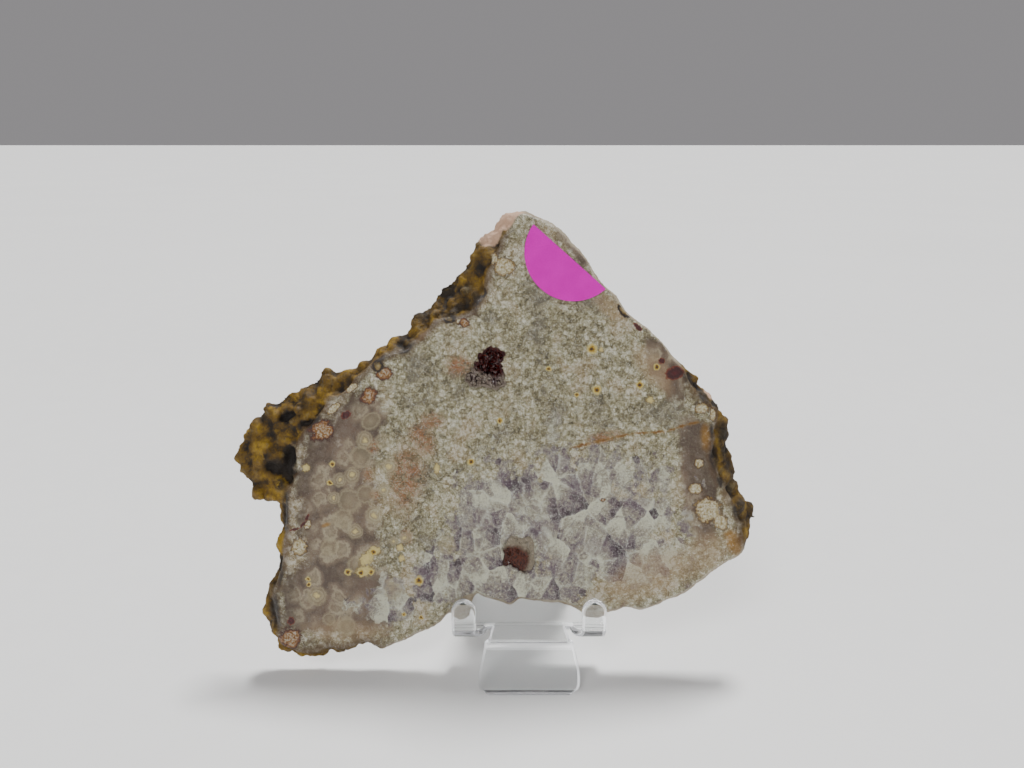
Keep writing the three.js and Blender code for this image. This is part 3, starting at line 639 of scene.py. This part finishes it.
ZONES = {
    "amethyst": AMETHYST, "chalcedony": CHALCEDONY, "beige": BEIGE_EDGE, "orange": ORANGE_CLOUDS,
    "purple": PURPLE_DEPTHS, "yellow": YELLOW_STAINS, "black": BLACK_CRUST_AND_SHADE, "pale": PALE_SIDES,
    "stained": (UPPER_STAIN, LOWER_STAIN),
}


def reach(u, v, patches, farthest=2.0):
    """Distance of each point from the nearest patch: 0 at its centre, 1 on its outline."""
    least = np.full(len(u), farthest)
    for centre_u, centre_v, half_u, *more in patches:
        half_v = more[0] if more else half_u
        turn = math.radians(more[1]) if len(more) > 1 else 0.0
        across, up = u - centre_u, v - centre_v
        along = (across * math.cos(turn) + up * math.sin(turn)) / half_u
        aside = (up * math.cos(turn) - across * math.sin(turn)) / half_v
        least = np.minimum(least, np.hypot(along, aside))
    return least


def soft(values, low, high):
    """0 below low, 1 above high, and a soft climb between them, for an array."""
    t = np.clip((values - low) / (high - low), 0, 1)
    return t * t * (3 - 2 * t)


class AGATE_OT_slab(bpy.types.Operator):
    """Model the agate slab over its CAD node"""
    bl_idname = "agate.slab"
    bl_label = "Agate slab"

    def execute(self, context):
        settings = context.scene.agate_slab
        slab = copy_of("slab", "agate_slab")
        remesh = slab.modifiers.new("even_grid", "REMESH")
        remesh.mode = "VOXEL"
        remesh.voxel_size = settings.grid
        apply_modifier(slab, remesh)

        mesh = slab.data
        points, normals, facing, u, depth, v, clear, rind = self.survey(mesh)
        mesh.vertices.foreach_set("select", rind > 0.25)
        mesh.edges.foreach_set("select", [False] * len(mesh.edges))
        mesh.polygons.foreach_set("select", [
            all(rind[index] > 0.25 for index in face.vertices) for face in mesh.polygons])
        bpy.ops.object.mode_set(mode="EDIT")
        bpy.ops.mesh.select_mode(type="FACE")
        bpy.ops.mesh.subdivide(number_cuts=1)
        bpy.ops.object.mode_set(mode="OBJECT")
        points, normals, facing, u, depth, v, clear, rind = self.survey(mesh)
        self.note(mesh, "rind_cover", rind)
        for name, patches in ZONES.items():
            self.note(mesh, name, reach(u, v, patches))

        halfway = depth.max() / 2
        rim_distance = np.zeros(len(u))
        for rim, served in (
            ((depth < 1.2) & (facing < 0.9) & (clear > 0.9), depth < halfway),
            ((depth > halfway + 2) & (facing < 0.9), depth >= halfway),
        ):
            tree = KDTree(int(rim.sum()))
            for index in np.flatnonzero(rim):
                tree.insert((u[index], 0, v[index]), int(index))
            tree.balance()
            for index in np.flatnonzero(served):
                rim_distance[index] = tree.find((u[index], 0, v[index]))[2]
        self.note(mesh, "rim_distance", rim_distance)
        left = np.where(v < 20, 1 - soft(u, -60, -48), 1 - soft(u, -8, -4))
        right = soft(u, 58, 64) * soft(v, 20, 28)
        self.note(mesh, "rind_side", np.maximum(left, right))

        natural = rind * (0.3 + 0.7 * np.maximum(left, right))
        dented = rind * (1 - soft(reach(u, v, DENTS), 0.5, 1.2))
        near_hollow = 1 - soft(reach(u, v, (UPPER_HOLLOW, LOWER_HOLLOW)), 1.1, 1.3)
        mouths = near_hollow * (1 - soft(facing, 0.8, 0.95)) * (1 - soft(depth, 5, 6))
        size, height = settings.lump_size, settings.lump_height
        for name, weights, kind, scale, strength, middle in (
            ("mouths", mouths, "CLOUDS", 1.4 * MM, 3.0 * MM, 0.5),
            ("dents", dented, None, 1, -1.6 * height, 0),
            ("swell", natural, "CLOUDS", size * 2.4, height * 2.0, 0.5),
            ("boulders", natural, "VORONOI", size * 2.4, height * -2.0, 0.5),
            ("lumps", natural, "VORONOI", size * 1.1, height * -0.9, 0.5),
            ("grains", rind, "VORONOI", size * 0.36, height * -0.28, 0.5),
        ):
            group = slab.vertex_groups.new(name=name)
            for index in np.flatnonzero(weights > 0.01):
                group.add([int(index)], float(weights[index]), "REPLACE")
            displace = slab.modifiers.new(name, "DISPLACE")
            if kind:
                displace.texture = bpy.data.textures.new(name, kind)
                displace.texture.noise_scale = scale
            displace.texture_coords = "LOCAL"
            displace.strength = strength
            displace.mid_level = middle
            displace.vertex_group = name
            apply_modifier(slab, displace)
        slab.vertex_groups.clear()
        self.note(mesh, "lump_height", ((self.read(mesh, "co") - points) * normals).sum(1) / MM)
        bpy.ops.object.shade_smooth()
        mesh.materials.clear()
        mesh.materials.append(agate_look())
        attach(slab, ROOT)
        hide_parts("slab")
        return {"FINISHED"}

    def survey(self, mesh):
        """Where each vertex lies in the face's coordinates, which way it faces, and how much rind it carries."""
        points, normals = self.read(mesh, "co"), self.read(mesh, "normal")
        u, depth, v = ((points - np.array(FACE_ORIGIN)) @ np.array(FACE_TURN).T / MM).T
        facing = np.abs(normals @ np.array(FACE_NORMAL))
        clear = np.minimum(soft(reach(u, v, (UPPER_HOLLOW, LOWER_HOLLOW)), 1.02, 1.1),
                           soft(reach(u, v, PITS), 1.7, 2.0))
        back = soft(depth, 6.9, 7.3) * soft(facing, 0.9, 0.97)
        return points, normals, facing, u, depth, v, clear, clear * soft(depth, 0.3, 1.2) * (1 - back)

    @staticmethod
    def read(mesh, what):
        """The vertices' places or normals as an array."""
        values = np.empty(len(mesh.vertices) * 3)
        mesh.vertices.foreach_get(what, values)
        return values.reshape(-1, 3)

    @staticmethod
    def note(mesh, name, values):
        """Stores one number per vertex for the material."""
        mesh.attributes.new(name, "FLOAT", "POINT").data.foreach_set("value", np.asarray(values, np.float32))


class AGATE_OT_crusts(bpy.types.Operator):
    """Grow small quartz crystals over the crusts in both hollows"""
    bl_idname = "agate.crusts"
    bl_label = "Crystal crusts"

    def execute(self, context):
        settings = context.scene.agate_crusts
        for node, slot, hollow, stain, dark, pale in (
            ("upper_vug_crystals", "upper_druse", UPPER_HOLLOW, UPPER_STAIN, (56, 18, 11), (116, 101, 101)),
            ("lower_vug_crystals", "lower_druse", LOWER_HOLLOW, LOWER_STAIN, (74, 40, 30), (122, 111, 100)),
        ):
            crust = copy_of(node, slot)
            crust.data.materials.clear()
            crust.data.materials.append(druse_look(slot + "_quartz", stain, dark, pale))
            self.fit(crust, hollow, settings.setback)
            crystals = self.grow(crust, settings)
            select_only(crust)
            for crystal in crystals:
                crystal.select_set(True)
            bpy.ops.object.join()
            bpy.ops.object.shade_flat()
            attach(crust, ROOT)
            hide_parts(node)
        return {"FINISHED"}

    def fit(self, crust, hollow, setback):
        """Widens the crust a little into the hollow's wall, and cuts it off behind the sawn face."""
        mouth = FACE_ORIGIN + FACE_TURN.transposed() @ Vector((hollow[0], 0, hollow[1])) * MM
        select_only(crust)
        bpy.ops.object.mode_set(mode="EDIT")
        bpy.ops.mesh.select_all(action="SELECT")
        bpy.ops.transform.resize(value=(1.07, 1.07, 1.07), center_override=mouth)
        bpy.ops.mesh.bisect(plane_co=FACE_ORIGIN - FACE_NORMAL * setback, plane_no=FACE_NORMAL,
                            clear_outer=True, use_fill=True)
        bpy.ops.object.mode_set(mode="OBJECT")

    def grow(self, crust, settings):
        """Copies one pointed six-sided crystal onto random places of the crust's open side."""
        select_only(crust)
        bpy.ops.object.select_all(action="DESELECT")
        bpy.ops.mesh.primitive_cylinder_add(vertices=6, radius=0.5, depth=0.6, location=(0, 0, 0))
        pattern = bpy.context.object
        bpy.ops.object.mode_set(mode="EDIT")
        bpy.ops.mesh.select_all(action="DESELECT")
        bpy.ops.object.mode_set(mode="OBJECT")
        for face in pattern.data.polygons:
            face.select = face.normal.z > 0.9
        bpy.ops.object.mode_set(mode="EDIT")
        bpy.ops.mesh.select_mode(type="FACE")
        bpy.ops.mesh.extrude_region_move(TRANSFORM_OT_translate={"value": (0, 0, 0.4)})
        bpy.ops.transform.resize(value=(0.12, 0.12, 1), center_override=(0, 0, 0.7))
        bpy.ops.object.mode_set(mode="OBJECT")

        rng = random.Random(settings.seed)
        open_faces = [face for face in crust.data.polygons if face.normal.dot(FACE_NORMAL) > 0.15]
        weights = [face.area for face in open_faces]
        crystals = []
        for face in rng.choices(open_faces, weights, k=settings.count):
            corners = [crust.data.vertices[index].co for index in face.vertices]
            shares = [rng.random() for corner in corners]
            place = sum((c * share for c, share in zip(corners, shares)), Vector()) / sum(shares)
            room = -(FACE_TURN @ (place - FACE_ORIGIN)).y / MM
            length = min(settings.length * rng.uniform(0.5, 1.3), max(-room, 0.2) * 0.8 * MM)
            lean = Vector((rng.gauss(0, 0.35), rng.gauss(0, 0.35), rng.gauss(0, 0.35)))
            direction = (face.normal + FACE_NORMAL * 0.4 + lean).normalized()
            crystal = bpy.data.objects.new("crystal", pattern.data.copy())
            crystal.data.materials.append(crust.data.materials[0])
            width = length * rng.uniform(0.5, 0.8)
            crystal.data.transform(
                Matrix.Translation(place) @ direction.to_track_quat("Z", "Y").to_matrix().to_4x4()
                @ Matrix.Rotation(rng.uniform(0, 1), 4, "Z") @ Matrix.Diagonal((width, width, length, 1)))
            bpy.context.scene.collection.objects.link(crystal)
            crystals.append(crystal)
        bpy.data.objects.remove(pattern)
        return crystals


class AGATE_OT_sticker(bpy.types.Operator):
    """Give the paper label its look"""
    bl_idname = "agate.sticker"
    bl_label = "Label"

    def execute(self, context):
        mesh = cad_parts["sticker"].data
        mesh.materials.clear()
        mesh.materials.append(label_look())
        return {"FINISHED"}


def bent_path(corners, radii, steps):
    """The corners of a side view, in millimetres, with each inner corner rounded to its radius."""
    corners = [Vector(corner) for corner in corners]
    path = [corners[0]]
    for before, corner, after, radius in zip(corners, corners[1:], corners[2:], radii):
        arriving, leaving = (corner - before).normalized(), (after - corner).normalized()
        turn = math.atan2(arriving.x * leaving.y - arriving.y * leaving.x, arriving.dot(leaving))
        start = corner - arriving * radius * math.tan(abs(turn) / 2)
        centre = start + Vector((-arriving.y, arriving.x)) * math.copysign(radius, turn)
        path += [centre + Matrix.Rotation(turn * step / steps, 2) @ (start - centre) for step in range(steps + 1)]
    return path + [corners[-1]]


def between(value, start, end, low, high):
    """Slides from low to high as value goes from start to end."""
    share = min(max((value - start) / (end - start), 0.0), 1.0)
    return low + (high - low) * share


class AGATE_OT_easel(bpy.types.Operator):
    """Bend the clear easel from one sheet, over its CAD node"""
    bl_idname = "agate.easel"
    bl_label = "Clear easel"

    SLIT_END = 20.4
    LEDGE = 15.9
    COLUMNS = (-30.0, -16.2, -14.4, 14.4, 16.2, 30.0)

    def execute(self, context):
        settings = context.scene.agate_easel
        bpy.ops.object.select_all(action="DESELECT")
        bpy.ops.mesh.primitive_plane_add(size=1)
        easel = context.object
        easel.name = easel.data.name = "clear_easel"
        self.rule_first_row(easel)
        self.extrude_back(easel, settings.bend_steps)
        self.extrude_foot(easel, settings.bend_steps)
        self.extrude_arms(easel, settings.bend_steps)

        bpy.ops.object.mode_set(mode="EDIT")
        bpy.ops.mesh.select_all(action="SELECT")
        bpy.ops.mesh.remove_doubles(threshold=0.02 * MM)
        bpy.ops.mesh.normals_make_consistent(inside=False)
        bpy.ops.object.mode_set(mode="OBJECT")
        sheet = easel.modifiers.new("sheet", "SOLIDIFY")
        sheet.thickness = settings.thickness
        sheet.offset = 0
        sheet.use_even_offset = True
        apply_modifier(easel, sheet)
        polish = easel.modifiers.new("polished_edges", "BEVEL")
        polish.limit_method = "ANGLE"
        polish.angle_limit = math.radians(40)
        polish.width = settings.edge_radius
        polish.segments = 4
        polish.use_clamp_overlap = False
        polish.material = 1
        for material in (clear_look(), None):
            easel.data.materials.append(material)
        apply_modifier(easel, polish)
        bpy.ops.object.mode_set(mode="EDIT")
        bpy.ops.mesh.select_all(action="SELECT")
        bpy.ops.mesh.bisect(plane_co=(0, 0, 0), plane_no=(0, 0, 1), clear_inner=True, use_fill=True)
        bpy.ops.mesh.select_all(action="SELECT")
        bpy.ops.mesh.normals_make_consistent(inside=False)
        bpy.ops.object.mode_set(mode="OBJECT")
        easel.data.attributes.new("painted_edge_highlight", "FLOAT", "FACE").data.foreach_set(
            "value", [self.painted_highlight(face) for face in easel.data.polygons])
        easel.data.materials.pop(index=1)
        bpy.ops.object.shade_smooth_by_angle(angle=math.radians(30))
        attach(easel, ROOT)
        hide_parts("easel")
        return {"FINISHED"}

    def painted_highlight(self, face):
        """How much painted highlight a face glows with: all of it on a polished edge, much of it round the foot's
        knee.
        """
        place = (face.center - TOE) / MM
        knee = abs(place.x) < 17 and 7 < place.y < 11.5 and abs(place.z - self.LEDGE) < 2.2
        return 1.0 if face.material_index else 0.5 * knee * (abs(face.normal.z) < 0.97)

    def rule_first_row(self, easel):
        """Turns the plane into the row of edges that runs across the ledge where the slits end."""
        easel.data.clear_geometry()
        row = [TOE + Vector((x, self.SLIT_END, self.LEDGE)) * MM for x in self.COLUMNS]
        easel.data.from_pydata(row, [(index, index + 1) for index in range(len(row) - 1)], [])
        easel.data.update()

    def pick(self, easel, low, high):
        """Selects only the first row's edges between two columns."""
        mesh = easel.data
        bpy.ops.object.mode_set(mode="EDIT")
        bpy.ops.mesh.select_mode(type="EDGE")
        bpy.ops.mesh.select_all(action="DESELECT")
        bpy.ops.object.mode_set(mode="OBJECT")
        for edge in mesh.edges:
            places = [(mesh.vertices[index].co - TOE) / MM for index in edge.vertices]
            edge.select = all(
                low - 0.1 < place.x < high + 0.1 and abs(place.y - self.SLIT_END) < 0.01
                and abs(place.z - self.LEDGE) < 0.01 for place in places)
        bpy.ops.object.mode_set(mode="EDIT")

    def draw_out(self, path, widths, pivot=0.0):
        """Extrudes the selected edges along a side-view path, scaling each row across about a pivot column."""
        for (start, end), (width, next_width) in zip(zip(path, path[1:]), zip(widths, widths[1:])):
            shift = end - start
            bpy.ops.mesh.extrude_edges_move(
                TRANSFORM_OT_translate={"value": (0, shift.x * MM, shift.y * MM)})
            if abs(next_width - width) > 0.001:
                centre = TOE + Vector((pivot, end.x, end.y)) * MM
                bpy.ops.transform.resize(value=(next_width / width, 1, 1), center_override=centre)
        bpy.ops.object.mode_set(mode="OBJECT")

    def extrude_back(self, easel, steps):
        """Ledge, back panel, fold and rear leg."""
        lean = math.tan(LEAN)
        foot_of_panel = 23.16
        crest = (foot_of_panel + (90 - self.LEDGE) * lean, 90)
        corners = [(self.SLIT_END, self.LEDGE), (foot_of_panel, self.LEDGE), crest, (74, -6)]
        path = bent_path(corners, (3.3, 4.5), steps)
        straight = path.index(min(path, key=lambda point: abs(point.y - 84)))
        rising = [between(point.y, self.LEDGE, 84, 60, 36) if point.x < crest[0] + 4 else
                  between(point.y, 90, -6, 36, 44) for point in path]
        self.pick(easel, -30, 30)
        self.draw_out(path, rising)

    def extrude_foot(self, easel, steps):
        """Centre strip and front foot, with a flared toe that has rounded corners."""
        slope = math.tan(math.radians(26))
        at_floor = 1.5 / math.cos(math.radians(26))
        corners = [(self.SLIT_END, self.LEDGE), (at_floor + self.LEDGE * slope, self.LEDGE),
                   (at_floor - 3 * slope, -3)]
        path = bent_path(corners, (3.3,), steps)
        knee, floor = path[-2], path[-1]
        foot = [knee.lerp(floor, step / 12) for step in range(1, 13)]
        path = path[:-1] + foot
        widths = []
        for point in path:
            if point.y > self.LEDGE - 0.05:
                widths.append(between(point.x, self.SLIT_END, 11.5, 28.8, 31.4))
                continue
            flare = between(point.y, self.LEDGE, 0, 34, 42)
            rise = min(max(3 - point.y, 0), 3)
            corner = 3 - math.sqrt(9 - rise * rise)
            widths.append(min(flare, 38.8 - 2 * corner))
        self.pick(easel, -14.4, 14.4)
        self.draw_out(path, widths)

    def extrude_arms(self, easel, steps):
        """The two arms beside the slits, each bent up into a round-topped lip."""
        front, top, round_radius = 14.3, 32.0, 4.7
        corners = [(self.SLIT_END, self.LEDGE), (front, self.LEDGE), (front, top)]
        path = bent_path(corners, (3.3,), steps)[:-1]
        shoulder = top - round_radius
        rises = [math.sin(math.pi / 2 * step / 8) for step in range(9)]
        path += [Vector((front, shoulder + round_radius * rise)) for rise in rises]
        for side in (-1, 1):
            self.pick(easel, *sorted((side * 16.2, side * 30.0)))
            arm = [between((self.SLIT_END - point.x) ** 2, 0, 6.1 ** 2, 13.8, 9.4) for point in path[:-9]]
            self.draw_out(path[:-9], arm, side * 30.0)
            bpy.ops.object.mode_set(mode="EDIT")
            lip = [2 * max(math.sqrt(max(round_radius ** 2 - (point.y - shoulder) ** 2, 0)), 0.6)
                   for point in path[-10:]]
            lip[0] = 9.4
            self.draw_out(path[-10:], lip, side * 25.3)


class AGATE_OT_stage(bpy.types.Operator):
    """Lay the floor, hang the lights and set the camera"""
    bl_idname = "agate.stage"
    bl_label = "Stage"

    def execute(self, context):
        scene = context.scene
        bpy.ops.object.select_all(action="DESELECT")
        bpy.ops.mesh.primitive_plane_add(size=30, location=(0, 0, -0.15 * MM))
        floor = context.object
        floor.name = "floor"
        floor.data.materials.append(floor_look())

        world = bpy.data.worlds.new("studio")
        scene.world = world
        world.use_nodes = True
        world.node_tree.nodes["Background"].inputs["Color"].default_value = hue(228, 226, 228)
        world.node_tree.nodes["Background"].inputs["Strength"].default_value = 0.36

        for name, spot, spread, power in (
            ("overhead", (0.18, 0.5, 1.1), 12, 4.0),
            ("front_fill", (-0.45, -0.9, 1.15), 24, 1.1),
        ):
            lamp = bpy.data.lights.new(name, "SUN")
            lamp.angle = math.radians(spread)
            lamp.energy = power
            light = bpy.data.objects.new(name, lamp)
            scene.collection.objects.link(light)
            light.location = spot
            light.rotation_euler = (-Vector(spot)).to_track_quat("-Z", "Y").to_euler()

        camera = bpy.data.objects.new("camera", bpy.data.cameras.new("camera"))
        scene.collection.objects.link(camera)
        camera.data.sensor_width = 36
        camera.data.lens = 36 * 769 / 1024
        camera.location = TOE + Vector((-6.6, -241.4, 202.7)) * MM
        camera.rotation_euler = (math.pi / 2 - LEAN, 0, 0)
        camera.data.clip_start = 0.01
        camera.data.clip_end = 20
        scene.camera = camera
        return {"FINISHED"}


class AGATE_PT_panel(bpy.types.Panel):
    """Lists the steps that build the slab"""
    bl_idname = "AGATE_PT_panel"
    bl_label = "Flower agate slab"
    bl_space_type = "VIEW_3D"
    bl_region_type = "UI"
    bl_category = "Agate"

    def draw(self, context):
        for operator in OPERATORS:
            self.layout.operator(operator.bl_idname)
        for group, settings in SETTINGS.items():
            for name in settings.__annotations__:
                self.layout.prop(getattr(context.scene, group), name)


OPERATORS = (AGATE_OT_slab, AGATE_OT_crusts, AGATE_OT_sticker, AGATE_OT_easel, AGATE_OT_stage)
SETTINGS = {"agate_slab": SlabSettings, "agate_crusts": CrustSettings, "agate_easel": EaselSettings}
CLASSES = (*SETTINGS.values(), *OPERATORS, AGATE_PT_panel)


def register():
    for each in CLASSES:
        bpy.utils.register_class(each)
    for group, settings in SETTINGS.items():
        setattr(bpy.types.Scene, group, bpy.props.PointerProperty(type=settings))


def unregister():
    for group in SETTINGS:
        delattr(bpy.types.Scene, group)
    for each in reversed(CLASSES):
        bpy.utils.unregister_class(each)


def main():
    register()
    bpy.ops.agate.slab()
    bpy.ops.agate.crusts()
    bpy.ops.agate.sticker()
    bpy.ops.agate.easel()
    bpy.ops.agate.stage()


if __name__ == "__main__":
    main()
